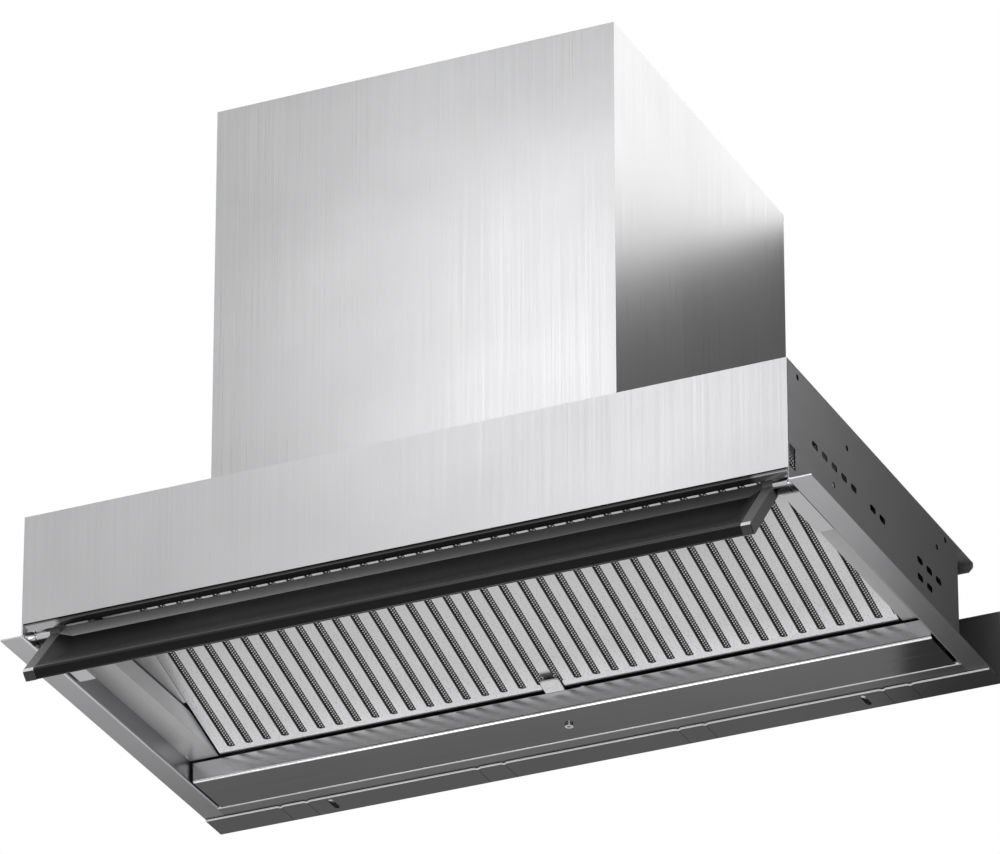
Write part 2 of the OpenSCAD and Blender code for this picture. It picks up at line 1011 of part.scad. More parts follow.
// Foot of the filler: pairs of notches, each with a break-off line behind it, and two slots
module filler_foot(line) {
  rear = filler_y + filler_d;
  difference() {
    area([-half_w - flange_w, filler_y], [half_w + flange_w, rear]);
    for (i = [0 : filler_notches - 1])
      for (side = [-1, 1])
        translate([(i - (filler_notches - 1) / 2) * notch_step + side * notch_pair / 2, 0]) {
          polygon([[-notch_half, filler_y - cut], [-notch_half, filler_y], [0, filler_y + notch_depth],
                   [notch_half, filler_y], [notch_half, filler_y - cut]]);
          if (line > 0)
            area([-line / 2, filler_y], [line / 2, rear - sheet]);
        }
    for (side = [-1, 1]) {
      front = filler_y + adjust_front;
      area([side * adjust_x - adjust_half, front + adjust_half],
           [side * adjust_x + adjust_half, front + adjust_l - adjust_half]);
      for (end = [front + adjust_half, front + adjust_l - adjust_half])
        translate([side * adjust_x, end])
          circle(adjust_half);
    }
  }
}

// Filler behind the rail: foot with break-off notches and an upstand
module rear_filler() {
  low = -2 * sheet - slip;
  rear = filler_y + filler_d;
  color("dimgray") {
    translate([0, 0, low + score_depth])
      linear_extrude(sheet - score_depth)
        filler_foot(0);
    translate([0, 0, low])
      linear_extrude(score_depth)
        filler_foot(score_w);
    block([-half_w - flange_w, rear - sheet, low], [half_w + flange_w, rear, low + filler_h]);
  }
}

// Screws from the rail into the filler's slots
module filler_screws() {
  color("gray")
    for (side = [-1, 1])
      translate([side * adjust_x, filler_y + adjust_screw_y, 0]) {
        cylinder(h = screw_head_h, r = screw_head_r);
        translate([0, 0, screw_recess - 2 * sheet - slip])
          cylinder(h = 2 * sheet + slip, r = channel_screw_r - running);
      }
}

// Box under the top sheet that holds the controls
module control_box() {
  rear = rear_inner - control_rear;
  color("#3a3d40")
    block([control_x, rear - control_l, case_h - sheet - control_h], [control_x + control_w, rear, case_h - sheet]);
}

// Cable gland in the rear wall
module cable_gland() {
  color("#202122")
    translate([cable_x, rear_inner, case_h - cable_drop])
      rotate([-90, 0, 0])
        difference() {
          union() {
            translate([0, 0, -gland_head])
              cylinder(h = gland_head, r = gland_nut_r, $fn = 6);
            cylinder(h = gland_reach, r = cable_r);
            translate([0, 0, sheet])
              cylinder(h = gland_head, r = gland_nut_r);
          }
          translate([0, 0, -gland_head - cut])
            cylinder(h = gland_head + gland_reach + 2 * cut, r = gland_hole_r);
        }
}

// Front of the blower casing
module casing_front() {
  color("silver")
    block([-casing_half, casing_y, casing_z], [casing_half, casing_y + casing_sheet, casing_top_z]);
}

// Side of the blower casing with its folds at front, foot and rear
module casing_side() {
  inner = casing_half - casing_sheet;
  front = casing_y + casing_sheet;
  block([inner, front, casing_z], [casing_half, casing_rear, casing_top_z]);
  block([inner - casing_fold, front, casing_z + casing_sheet],
        [inner, front + casing_sheet, casing_top_z - casing_sheet]);
  block([inner - casing_fold, casing_rear - 2 * casing_sheet, casing_z + casing_sheet],
        [inner, casing_rear - casing_sheet, casing_top_z - casing_sheet]);
}

module casing_side_right() {
  color("silver")
    casing_side();
}

module casing_side_left() {
  color("silver")
    mirror([1, 0, 0])
      casing_side();
}

// Rear cover of the blower casing
module casing_back() {
  inner = casing_half - casing_sheet;
  color("darkgray")
    difference() {
      block([-inner, casing_rear - casing_sheet, casing_z], [inner, casing_rear, casing_top_z]);
      back_screw_places()
        translate([0, -2 * casing_sheet, 0])
          rotate([-90, 0, 0])
            cylinder(h = 3 * casing_sheet, r = channel_screw_r);
    }
}

// Places of the screws along the edges of the rear cover
module back_screw_places() {
  inner = casing_half - casing_sheet - casing_fold / 2;
  for (side = [-1, 1])
    for (i = [0 : screw_rows - 1])
      translate([side * inner, casing_rear, casing_z + screw_inset + i * (casing_h - 2 * screw_inset) / (screw_rows - 1)])
        children();
}

module casing_screws() {
  color("gray")
    back_screw_places() {
      rotate([-90, 0, 0])
        cylinder(h = back_screw_h, r = back_screw_r);
      translate([0, -casing_sheet, 0])
        rotate([-90, 0, 0])
          cylinder(h = casing_sheet, r = channel_screw_r - running);
    }
}

// Top of the blower casing with the outlet
module casing_top() {
  inner = casing_half - casing_sheet;
  color("darkgray")
    difference() {
      block([-inner, casing_y + casing_sheet, casing_top_z - casing_sheet],
            [inner, casing_rear - casing_sheet, casing_top_z]);
      translate([0, collar_y, casing_top_z - casing_sheet - cut])
        cylinder(h = casing_sheet + 2 * cut, r = collar_r - collar_wall);
    }
}

// Duct collar with its brim and the seats of the flaps
module duct_collar() {
  color("#38393b")
    translate([0, collar_y, casing_top_z])
      difference() {
        union() {
          difference() {
            union() {
              cylinder(h = collar_h, r = collar_r);
              cylinder(h = collar_brim_t, r = collar_r + collar_brim);
            }
            translate([0, 0, -cut])
              cylinder(h = collar_h + 2 * cut, r = collar_r - collar_wall);
          }
          intersection() {
            translate([0, 0, flap_z - flap_t / 2 - slip - flap_seat])
              difference() {
                cylinder(h = flap_seat, r = collar_r - collar_wall / 2);
                translate([0, 0, -cut])
                  cylinder(h = flap_seat + 2 * cut, r = collar_r - collar_wall - flap_seat_w);
              }
            union() {
              block([-2 * flap_seat_w, -2 * collar_r, 0], [2 * flap_seat_w, 2 * collar_r, collar_h]);
            }
          }
        }
        translate([0, 0, flap_z])
          rod_x(-collar_r - cut, collar_r + cut, flap_pin_r);
      }
}

// Pin on which both flaps hang
module flap_pin() {
  color("silver")
    translate([0, collar_y, knuckle_z])
      rod_x(-collar_r, collar_r, flap_pin_r);
}

// Half round flap with its hinge eyes, drawn for the rear half
module flap(eyes) {
  r = collar_r - collar_wall - flap_edge_gap;
  difference() {
    union() {
      intersection() {
        translate([0, 0, -flap_t / 2])
          cylinder(h = flap_t, r = r);
        block([-r, flap_gap, -flap_t], [r, r, flap_t]);
      }
      for (x = eyes) {
        translate([x, 0, 0])
          rod_x(0, knuckle_w, knuckle_r);
        block([x, 0, -flap_t / 2], [x + knuckle_w, flap_gap + cut, flap_t / 2]);
      }
    }
    rod_x(-2 * r, 2 * r, flap_pin_r + running);
  }
}

module flap_rear() {
  color("#4a4d50")
    translate([0, collar_y, knuckle_z])
      flap([-2 * knuckle_w - 2 * knuckle_gap, knuckle_gap]);
}

module flap_front() {
  color("#4a4d50")
    translate([0, collar_y, knuckle_z])
      mirror([0, 1, 0])
        flap([-knuckle_w - knuckle_gap, knuckle_w + 2 * knuckle_gap]);
}

// Radius of the blower housing at an angle from the rear, growing from the tongue
function scroll_radius(a) = scroll_r0 + scroll_grow * (a - scroll_start) / (360 - scroll_start);

// Spiral outline that opens into the straight throat under the collar
function scroll_outline(t) = concat(
  [for (i = [0 : scroll_steps]) let (a = scroll_start + i * (360 - scroll_start) / scroll_steps)
    [(scroll_radius(a) + t) * cos(a), (scroll_radius(a) + t) * sin(a)]],
  [[scroll_radius(360) + t, top_gap], [scroll_radius(scroll_start) * cos(scroll_start) - t, top_gap]]
);

// Wrap of the blower housing with its throat and top flange
module scroll_wrap() {
  throat_low = scroll_r0 * cos(scroll_start);
  throat_high = scroll_radius(360);
  color("#55585b")
    translate([0, scroll_y, scroll_z]) {
      span_x(-scroll_half_w, scroll_half_w)
        difference() {
          polygon(scroll_outline(scroll_t));
          polygon(scroll_outline(0));
          area([throat_low, top_gap - cut], [throat_high, top_gap + cut]);
        }
      difference() {
        block([-scroll_half_w - scroll_flange, throat_low - scroll_flange, top_gap - scroll_t],
              [scroll_half_w + scroll_flange, throat_high + scroll_flange, top_gap]);
        block([-scroll_half_w, throat_low, top_gap - 2 * cut - scroll_t],
              [scroll_half_w, throat_high, top_gap + cut]);
      }
    }
}

// Side plate of the blower housing with its rounded inlet
module scroll_side() {
  translate([0, scroll_y, scroll_z]) {
    difference() {
      span_x(scroll_half_w, scroll_half_w + scroll_t)
        difference() {
          polygon(scroll_outline(scroll_t));
          area([-2 * scroll_r0, top_gap - scroll_t], [2 * throat_reach(), top_gap + cut]);
        }
      rod_x(scroll_half_w - cut, scroll_half_w + scroll_t + cut, inlet_r);
    }
    translate([scroll_half_w - inlet_bead / 2, 0, 0])
      rotate([0, 90, 0])
        rotate_extrude()
          translate([inlet_r + inlet_bead / 2, inlet_bead / 2 + scroll_t / 2])
            difference() {
              circle(inlet_bead);
              circle(inlet_bead - scroll_t / 2);
              area([-2 * inlet_bead, -2 * inlet_bead], [2 * inlet_bead, 0]);
            }
  }
}

// Distance from the fan axis to the rear of the throat
function throat_reach() = scroll_radius(360);

module scroll_side_right() {
  color("#606366")
    scroll_side();
}

module scroll_side_left() {
  color("#606366")
    mirror([1, 0, 0])
      scroll_side();
}

// Outline of one forward curved blade
function blade_outline() = let (inner = impeller_r - blade_depth) concat(
  [for (i = [0 : blade_steps]) let (s = i / blade_steps, a = blade_lean * s * s)
    [(inner + s * blade_depth) * cos(a), (inner + s * blade_depth) * sin(a)]],
  [for (i = [blade_steps : -1 : 0]) let (s = i / blade_steps, a = blade_lean * s * s)
    [(inner + s * blade_depth) * cos(a) - blade_t * sin(a) - blade_t * s / 2,
     (inner + s * blade_depth) * sin(a) + blade_t * cos(a)]]
);

// Double inlet impeller: blades on a middle disc, stiffened by a ring at each end
module impeller() {
  color("#2c2e30")
    translate([0, scroll_y, scroll_z])
      difference() {
        union() {
          span_x(-impeller_half, impeller_half)
            for (i = [0 : blade_count - 1])
              rotate(i * 360 / blade_count)
                polygon(blade_outline());
          rod_x(-impeller_disc / 2, impeller_disc / 2, impeller_r - blade_depth / 2);
          for (x = [-impeller_half, impeller_half - impeller_ring])
            difference() {
              rod_x(x, x + impeller_ring, impeller_r + impeller_rim);
              rod_x(x - cut, x + impeller_ring + cut, impeller_r - impeller_ring);
            }
          rod_x(-hub_half, hub_half, hub_r);
        }
        rod_x(-hub_half - cut, hub_half + cut, shaft_r);
      }
}

// Shaft that carries the impeller and runs in the motor
module motor_shaft() {
  color("silver")
    translate([0, scroll_y, scroll_z])
      rod_x(-hub_half - shaft_end, motor_face() + motor_l / 2, shaft_r);
}

// Face of the motor beside the blower housing
function motor_face() = scroll_half_w + scroll_t + motor_gap;

// Motor with cooling fins and a front boss
module fan_motor() {
  color("#8a8d90")
    translate([0, scroll_y, scroll_z])
      difference() {
        union() {
          rod_x(motor_face(), motor_face() + motor_l, motor_r);
          rod_x(motor_face() - motor_boss_l, motor_face() + sheet, motor_boss_r);
          for (i = [0 : motor_fins - 1])
            rotate([i * 360 / motor_fins, 0, 0])
              block([motor_face() + motor_boss_l, motor_r - sheet, -motor_fin_w / 2],
                    [motor_face() + motor_l - motor_boss_l, motor_r + motor_fin_h, motor_fin_w / 2]);
        }
        rod_x(motor_face() - motor_boss_l - cut, motor_face() + motor_l / 2 + cut, shaft_r + running);
      }
}

// Three armed bracket between the motor and the housing's side
module motor_bracket() {
  side = scroll_half_w + scroll_t;
  color("gray")
    translate([0, scroll_y, scroll_z])
      difference() {
        union() {
          rod_x(motor_face() - arm_t, motor_face(), motor_r - motor_fin_h);
          for (i = [0 : arm_count - 1])
            rotate([60 + i * 360 / arm_count, 0, 0]) {
              block([motor_face() - arm_t, 0, -arm_w / 2], [motor_face(), arm_ring_r, arm_w / 2]);
              block([side, arm_ring_r - arm_t, -arm_w / 2], [motor_face(), arm_ring_r, arm_w / 2]);
              block([side, arm_ring_r - arm_t, -arm_w / 2], [side + arm_t, arm_ring_r + foot_w, arm_w / 2]);
            }
        }
        rod_x(motor_face() - arm_t - cut, motor_face() + cut, motor_boss_r);
      }
}

// Screws through the feet of the motor bracket
module motor_screws() {
  side = scroll_half_w + scroll_t;
  color("silver")
    translate([0, scroll_y, scroll_z])
      for (i = [0 : arm_count - 1])
        rotate([60 + i * 360 / arm_count, 0, 0])
          translate([0, arm_ring_r + foot_w / 2, 0])
            rod_x(side + arm_t, side + arm_t + back_screw_h, back_screw_r);
}

side_wall_left();
side_wall_right();
case_top();
case_back();
front_panel();
front_return();
liner_left();
liner_right();
filter_baffle_left();
filter_baffle_right();
rear_channel();
channel_screw();
hinge_cover_left();
hinge_cover_right();
hinge_stud_left();
hinge_stud_right();
light_panel();
light_bar();
light_lens();
filter_hanger_left();
filter_hanger_right();
control_box();
cable_gland();
casing_front();
casing_side_left();
casing_side_right();
casing_back();
casing_top();
casing_screws();
duct_collar();
flap_pin();
scroll_wrap();
scroll_side_left();
scroll_side_right();
fan_motor();
motor_bracket();
motor_screws();
filler_screws();
visor_tray();
visor_lip();
visor_cap_left();
visor_cap_right();
visor_barrel_left();
visor_barrel_right();
filter_face();
filter_mesh();
filter_frame();
filter_back();
filter_pegs();
latch_cover();
filter_latch();
latch_spring();
rear_filler();
impeller();
motor_shaft();
flap_front();
flap_rear();
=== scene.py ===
"""Looks of the pull out range hood: materials, small pieces, light and camera."""
import math

import bmesh
import bpy
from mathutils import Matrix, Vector


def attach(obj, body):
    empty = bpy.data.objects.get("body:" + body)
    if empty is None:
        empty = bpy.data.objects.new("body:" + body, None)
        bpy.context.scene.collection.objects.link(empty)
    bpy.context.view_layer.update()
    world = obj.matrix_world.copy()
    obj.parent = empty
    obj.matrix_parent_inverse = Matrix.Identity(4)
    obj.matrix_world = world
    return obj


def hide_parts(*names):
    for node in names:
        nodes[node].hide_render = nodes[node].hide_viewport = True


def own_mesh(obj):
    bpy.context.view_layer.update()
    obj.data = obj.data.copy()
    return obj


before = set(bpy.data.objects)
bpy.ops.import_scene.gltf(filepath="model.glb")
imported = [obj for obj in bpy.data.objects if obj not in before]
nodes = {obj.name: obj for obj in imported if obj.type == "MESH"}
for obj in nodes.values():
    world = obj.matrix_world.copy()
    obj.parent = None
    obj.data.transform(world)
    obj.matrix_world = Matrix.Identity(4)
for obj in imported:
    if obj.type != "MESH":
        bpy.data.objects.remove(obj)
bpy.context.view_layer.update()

MM = 0.001
X_AXIS = Vector((1, 0, 0))
Y_AXIS = Vector((0, 1, 0))
Z_AXIS = Vector((0, 0, 1))

# Camera that repeats the photo's view
CAMERA_AZIMUTH = 24.47
CAMERA_ELEVATION = -27.56
CAMERA_DISTANCE = 5.863
CAMERA_TARGET = Vector((0.0061, 0.150, 0.1682))
CAMERA_LENS = 307.4
SENSOR_WIDTH = 36.0

# Filter's place: rear edge of its slotted face, and its slope
FILTER_REAR = Vector((0, 253.8 * MM, 15.8 * MM))
FILTER_TILT = math.radians(17.3)
FILTER_LENGTH = 198 * MM
FILTER_UP = Vector((0, math.sin(FILTER_TILT), math.cos(FILTER_TILT)))
FILTER_BACK = Vector((0, math.cos(FILTER_TILT), -math.sin(FILTER_TILT)))
SLOT_COUNT = 36
SLOT_PITCH = 13.95 * MM
SLOT_WIDTH = 5.1 * MM
SLOT_REAR = 5.6 * MM
SLOT_FRONT = 14 * MM

# Painted shadow beside each slot: width, rear end and its blend
SIDE_WIDTH = 0.75 * MM
SIDE_REAR = SLOT_REAR + 0.8 * MM
SIDE_BLEND = 0.4 * MM

# Expanded mesh behind the slots: strands per slot, their folds and their ribbon
STRANDS = 4
STRAND_PITCH = 1.70 * MM
STRAND_SWING = 0.45 * STRAND_PITCH
STRAND_STEP = 1.2 * MM
STRAND_RIBBON = 0.70 * MM
STRAND_LEVEL = 1.06 * MM
STRAND_RISE = 0.10 * MM
STRAND_PAST_END = 0.6 * MM

# Latch spring: ends along the filter, folds and sections
SPRING_START = 9.5 * MM
SPRING_END = 25 * MM
SPRING_FOLDS = 6
SPRING_HALF_WIDTH = 3.4 * MM
SPRING_SHEET = 0.4 * MM
SPRING_LOW = 4.55 * MM
SPRING_HEIGHT = 1.2 * MM

# Visor's hinge, the direction from it to the visor's free edge, and the depth of the flat band
HINGE = Vector((0, 17 * MM, 6.1 * MM))
VISOR_TURN = math.radians(131)
VISOR_ALONG = Vector((0, math.cos(VISOR_TURN), -math.sin(VISOR_TURN)))
VISOR_BACK = Vector((0, math.sin(VISOR_TURN), math.cos(VISOR_TURN)))
BAND_DEPTH = 9 * MM

# Visor's end caps: distances along the visor to the tip's painted highlight and to the end's
# painted shade, and back to its edge
CAP_TIP = VISOR_ALONG.dot(HINGE) + 61.8 * MM
CAP_END = VISOR_ALONG.dot(HINGE) + 64.9 * MM
CAP_EDGE = VISOR_BACK.dot(HINGE) - 1.0 * MM

# Strip below the front panel: its curve starts behind the panel's lower edge and leans back
STRIP_START = Vector((0, 0.3 * MM, 7.6 * MM))
STRIP_RADIUS = 23 * MM
STRIP_ANGLE = 40
STRIP_SWEEP = 14
STRIP_TURNS = 10
STRIP_SHARP = math.radians(30)
STRIP_SHEET = 1 * MM
STRIP_HALF = 280 * MM
STRIP_WEB = 12 * MM
# Half width of the strip's painted dark reflection of the visor
STRIP_REFLECTION_HALF = 253 * MM

# Rear channel: front wall and the outer radius of the bend below it
CHANNEL_FRONT = 255.5 * MM
CHANNEL_BEND = 2 * MM

# Filler: front edge, underside, half width, and its eight notches in four pairs
FILLER_FRONT = 314 * MM
FILLER_LOW = -2.3 * MM
FILLER_HALF = 297 * MM
NOTCH_COUNT = 4
NOTCH_STEP = 152.4 * MM
NOTCH_PAIR = 20.5 * MM
NOTCH_HALF = 2.4 * MM
NOTCH_DEPTH = 1.5 * MM
# Painted highlight strip along the filler's edge: its width, and how far it stands proud
EDGE_WIDTH = 0.9 * MM
EDGE_PROUD = 0.05 * MM

# Places where painted light and shade change a finish's strength
VISOR_SHADE_HALF = 220 * MM
PANEL_SKIN = 0.5 * MM
STRIP_TOP = 6.8 * MM
WALL_INNER = 280.05 * MM
WALL_OUTER = 280.9 * MM
WALL_DEPTH = 300 * MM
EDGE_INNER = 280.1 * MM
EDGE_OUTER = 281.3 * MM
EDGE_LOW = 0.2 * MM
LINER_GAP = 29.8 * MM
LINER_LEDGE = 15.8 * MM
LINER_BLEND = 0.3 * MM
BARREL_LOW = 1.0 * MM
BARREL_BLEND = 0.6 * MM
FILTER_FADE_START = 208 * MM
FILTER_FADE = 24 * MM
FILTER_LIP = 1.5 * MM
FILTER_CORNER_X = 239 * MM
FILTER_CORNER_Y = 112 * MM
FILTER_ABOVE = 0.03 * MM
FILTER_BLEND = 0.5 * MM
BAFFLE_GAP_X = 263 * MM
BAFFLE_ABOVE = 1.2 * MM
CAP_BLEND = 0.4 * MM
CAP_SIDE = 264.3 * MM
RAIL_FACE = 302.3 * MM


# ---------------------------------------------------------------- materials

def new_material(name):
    mat = bpy.data.materials.new(name)
    mat.use_nodes = True
    tree = mat.node_tree
    tree.nodes.clear()
    out = tree.nodes.new("ShaderNodeOutputMaterial")
    shader = tree.nodes.new("ShaderNodeBsdfPrincipled")
    tree.links.new(shader.outputs["BSDF"], out.inputs["Surface"])
    return mat, tree, shader


def noise_at(tree, scale, detail=3.0):
    """Noise in the row frame, stretched by scale (per metre along X, Y and Z)."""
    coords = tree.nodes.new("ShaderNodeTexCoord")
    mapping = tree.nodes.new("ShaderNodeMapping")
    mapping.inputs["Scale"].default_value = scale
    noise = tree.nodes.new("ShaderNodeTexNoise")
    noise.inputs["Scale"].default_value = 1.0
    noise.inputs["Detail"].default_value = detail
    tree.links.new(coords.outputs["Object"], mapping.inputs["Vector"])
    tree.links.new(mapping.outputs["Vector"], noise.inputs["Vector"])
    return noise.outputs["Fac"]


def spread(tree, value, low, high, from_low=0.3, from_high=0.7):
    node = tree.nodes.new("ShaderNodeMapRange")
    node.inputs["From Min"].default_value = from_low
    node.inputs["From Max"].default_value = from_high
    node.inputs["To Min"].default_value = low
    node.inputs["To Max"].default_value = high
    tree.links.new(value, node.inputs["Value"])
    return node.outputs["Result"]


def times(tree, a, b):
    node = tree.nodes.new("ShaderNodeMath")
    node.operation = "MULTIPLY"
    tree.links.new(a, node.inputs[0])
    tree.links.new(b, node.inputs[1])
    return node.outputs["Value"]


def tinted(tree, base, factor):
    """Base colour times a varying factor."""
    node = tree.nodes.new("ShaderNodeVectorMath")
    node.operation = "SCALE"
    node.inputs[0].default_value = base
    tree.links.new(factor, node.inputs["Scale"])
    return node.outputs["Vector"]


def side_of(tree, direction, place, width=0.0001):
    """0 before a plane in the row frame and 1 behind it, along a direction."""
    coords = tree.nodes.new("ShaderNodeTexCoord")
    dot = tree.nodes.new("ShaderNodeVectorMath")
    dot.operation = "DOT_PRODUCT"
    dot.inputs[1].default_value = direction
    tree.links.new(coords.outputs["Object"], dot.inputs[0])
    return spread(tree, dot.outputs["Value"], 0.0, 1.0, place, place + width)


def away_from_middle(tree, place, width=0.004):
    """0 near the middle plane and 1 beyond a distance to its left or right."""
    coords = tree.nodes.new("ShaderNodeTexCoord")
    axes = tree.nodes.new("ShaderNodeSeparateXYZ")
    size = tree.nodes.new("ShaderNodeMath")
    size.operation = "ABSOLUTE"
    tree.links.new(coords.outputs["Object"], axes.inputs["Vector"])
    tree.links.new(axes.outputs["X"], size.inputs[0])
    return spread(tree, size.outputs["Value"], 0.0, 1.0, place, place + width)


def slot_side_shadow(tree):
    """1 on the narrow strip of painted shadow beside the left edge of every slot, over the slots'
    length.
    """
    coords = tree.nodes.new("ShaderNodeTexCoord")
    axes = tree.nodes.new("ShaderNodeSeparateXYZ")
    tree.links.new(coords.outputs["Object"], axes.inputs["Vector"])
    turns = tree.nodes.new("ShaderNodeMath")
    turns.operation = "DIVIDE"
    turns.inputs[1].default_value = SLOT_PITCH
    tree.links.new(axes.outputs["X"], turns.inputs[0])
    place = tree.nodes.new("ShaderNodeMath")
    place.operation = "FRACT"
    tree.links.new(turns.outputs["Value"], place.inputs[0])
    edge = 0.5 - SLOT_WIDTH / SLOT_PITCH / 2
    width = SIDE_WIDTH / SLOT_PITCH
    start = spread(tree, place.outputs["Value"], 0.0, 1.0, edge - width, edge - 0.8 * width)
    end = spread(tree, place.outputs["Value"], 1.0, 0.0, edge + 0.01, edge + 0.02)
    rear = side_of(tree, -FILTER_BACK, SIDE_REAR - FILTER_BACK.dot(FILTER_REAR), SIDE_BLEND)
    return times(tree, times(tree, start, end), rear)


def beyond(direction, place, width=0.0001):
    """Mask for painted_light_and_tone: 1 behind a plane, along a direction."""
    return lambda tree: side_of(tree, direction, place, width)


def where(*masks):
    """Mask for painted_light_and_tone: 1 where every mask is 1."""
    def joined(tree):
        result = masks[0](tree)
        for mask in masks[1:]:
            result = times(tree, result, mask(tree))
        return result
    return joined


def painted_light_and_tone(mat, near, far, mask):
    """Give a finish two strengths of its colour, by a mask; used for painted light and shade, and
    for the visor's bright band.
    """
    tree = mat.node_tree
    shader = next(node for node in tree.nodes if node.type == "BSDF_PRINCIPLED")
    source = shader.inputs["Base Color"].links[0].from_socket
    node = tree.nodes.new("ShaderNodeVectorMath")
    node.operation = "SCALE"
    tree.links.new(source, node.inputs[0])
    tree.links.new(spread(tree, mask(tree), near, far, 0.0, 1.0), node.inputs["Scale"])
    tree.links.new(node.outputs["Vector"], shader.inputs["Base Color"])


def surface(name, base, metallic, rough, grain, tone=0.06, blotch=0.05, rough_spread=0.05,
            bump=0.08, bump_height=0.00006, specular=0.5):
    """One finish: fine grain and soft blotches in tone, roughness and height."""
    mat, tree, shader = new_material(name)
    fine = noise_at(tree, grain, detail=4.0)
    wide = noise_at(tree, BLOTCHES, detail=2.0)
    factor = times(tree, spread(tree, fine, 1 - tone, 1 + tone),
                   spread(tree, wide, 1 - blotch, 1 + blotch))
    tree.links.new(tinted(tree, base, factor), shader.inputs["Base Color"])
    tree.links.new(spread(tree, fine, rough - rough_spread, rough + rough_spread),
                   shader.inputs["Roughness"])
    shader.inputs["Metallic"].default_value = metallic
    shader.inputs["Specular IOR Level"].default_value = specular
    node = tree.nodes.new("ShaderNodeBump")
    node.inputs["Strength"].default_value = bump
    node.inputs["Distance"].default_value = bump_height
    tree.links.new(fine, node.inputs["Height"])
    tree.links.new(node.outputs["Normal"], shader.inputs["Normal"])
    return mat


# Repeats of the noise per metre along X, Y and Z
BLOTCHES = (9.0, 9.0, 9.0)
UPRIGHT_GRAIN = (1500.0, 1500.0, 7.0)
LENGTH_GRAIN = (7.0, 1500.0, 1500.0)
DEPTH_GRAIN = (1500.0, 7.0, 1500.0)
EVEN_GRAIN = (900.0, 900.0, 900.0)
DEEP_GRAIN = (700.0, 700.0, 700.0)

finish = {
    "front": surface("brushed_front", (0.40, 0.40, 0.407), 1.0, 0.40, UPRIGHT_GRAIN, tone=0.06),
    "casing": surface("brushed_casing", (0.37, 0.37, 0.376), 1.0, 0.32, UPRIGHT_GRAIN, tone=0.05),
    "strip": surface("polished_strip", (0.72, 0.72, 0.73), 1.0, 0.07, LENGTH_GRAIN, tone=0.03,
                     rough_spread=0.02, bump=0.01),
    "wall": surface("side_wall_sheet", (0.30, 0.30, 0.308), 1.0, 0.38, DEPTH_GRAIN, tone=0.04,
                    blotch=0.06),
    "sheet": surface("plain_sheet", (0.36, 0.36, 0.37), 1.0, 0.42, EVEN_GRAIN, tone=0.04,
                     blotch=0.08),
    "rail": surface("rail_sheet", (0.15, 0.15, 0.154), 1.0, 0.36, LENGTH_GRAIN, tone=0.04,
                    blotch=0.06),
    # Bright strip along the filler's edge: a painted highlight
    "edge": surface("painted_edge_highlight", (0.96, 0.96, 0.96), 0.0, 0.30, EVEN_GRAIN, tone=0.02,
                    bump=0.02),
    # Near-white baffles: painted light, where the lamps leave them in shade
    "baffle": surface("baffle_steel", (0.95, 0.95, 0.95), 0.0, 0.34, DEPTH_GRAIN, tone=0.05),
    "liner": surface("liner_steel", (0.62, 0.62, 0.63), 0.35, 0.34, DEPTH_GRAIN, tone=0.05),
    "cover": surface("cover_steel", (0.60, 0.60, 0.61), 0.7, 0.36, LENGTH_GRAIN, tone=0.05),
    "channel": surface("channel_steel", (0.80, 0.80, 0.81), 1.0, 0.18, LENGTH_GRAIN, tone=0.05),
    "filler": surface("filler_sheet", (0.098, 0.098, 0.10), 1.0, 0.40, LENGTH_GRAIN, tone=0.04,
                      blotch=0.07),
    "bright": surface("bright_steel", (0.55, 0.55, 0.56), 1.0, 0.14, EVEN_GRAIN, tone=0.03,
                      rough_spread=0.03),
    "screw": surface("zinc_screw", (0.62, 0.62, 0.63), 1.0, 0.24, EVEN_GRAIN, tone=0.06),
    "filter": surface("filter_steel", (0.76, 0.76, 0.77), 0.15, 0.30, DEPTH_GRAIN, tone=0.05),
    "mesh": surface("expanded_mesh", (0.92, 0.92, 0.92), 0.25, 0.40, EVEN_GRAIN, tone=0.15),
    "mesh_deep": surface("deep_mesh", (0.045, 0.045, 0.047), 0.8, 0.55, DEEP_GRAIN, tone=0.5,
                         bump=0.4, bump_height=0.0004),
    "dark": surface("dark_plastic", (0.030, 0.031, 0.033), 0.0, 0.50, EVEN_GRAIN, tone=0.12,
                    bump=0.25),
    "blower": surface("blower_plastic", (0.075, 0.078, 0.082), 0.0, 0.52, EVEN_GRAIN, tone=0.12,
                      bump=0.25),
    "motor": surface("motor_casting", (0.42, 0.42, 0.43), 1.0, 0.50, EVEN_GRAIN, tone=0.12,
                     bump=0.35),
    "lamp": surface("lamp_body", (0.72, 0.72, 0.71), 0.0, 0.45, EVEN_GRAIN, tone=0.04, bump=0.1),
    "lens": surface("frosted_lens", (0.82, 0.82, 0.80), 0.0, 0.38, EVEN_GRAIN, tone=0.03,
                    bump=0.15),
    "visor": surface("satin_black", (0.008, 0.008, 0.0081), 0.0, 0.40, EVEN_GRAIN, tone=0.10,
                     bump=0.12, specular=0.3),
    "cap": surface("cap_black", (0.11, 0.11, 0.112), 0.0, 0.42, EVEN_GRAIN, tone=0.10, bump=0.12,
                   specular=0.35),
    "gloss": surface("gloss_black", (0.003, 0.003, 0.0035), 0.0, 0.12, EVEN_GRAIN, tone=0.05,
                     bump=0.02, specular=0.3),
    "latch": surface("latch_satin", (0.86, 0.86, 0.87), 0.1, 0.30, EVEN_GRAIN, tone=0.05, bump=0.1),
}

# Visor: painted shade, darker towards the right; the flat band at the hinge is bright
painted_light_and_tone(finish["visor"], 1.1, 0.36, beyond(X_AXIS, -VISOR_SHADE_HALF, 2 * VISOR_SHADE_HALF))
painted_light_and_tone(finish["visor"], 46.0, 1.0, beyond(VISOR_ALONG, VISOR_ALONG.dot(HINGE) + BAND_DEPTH))

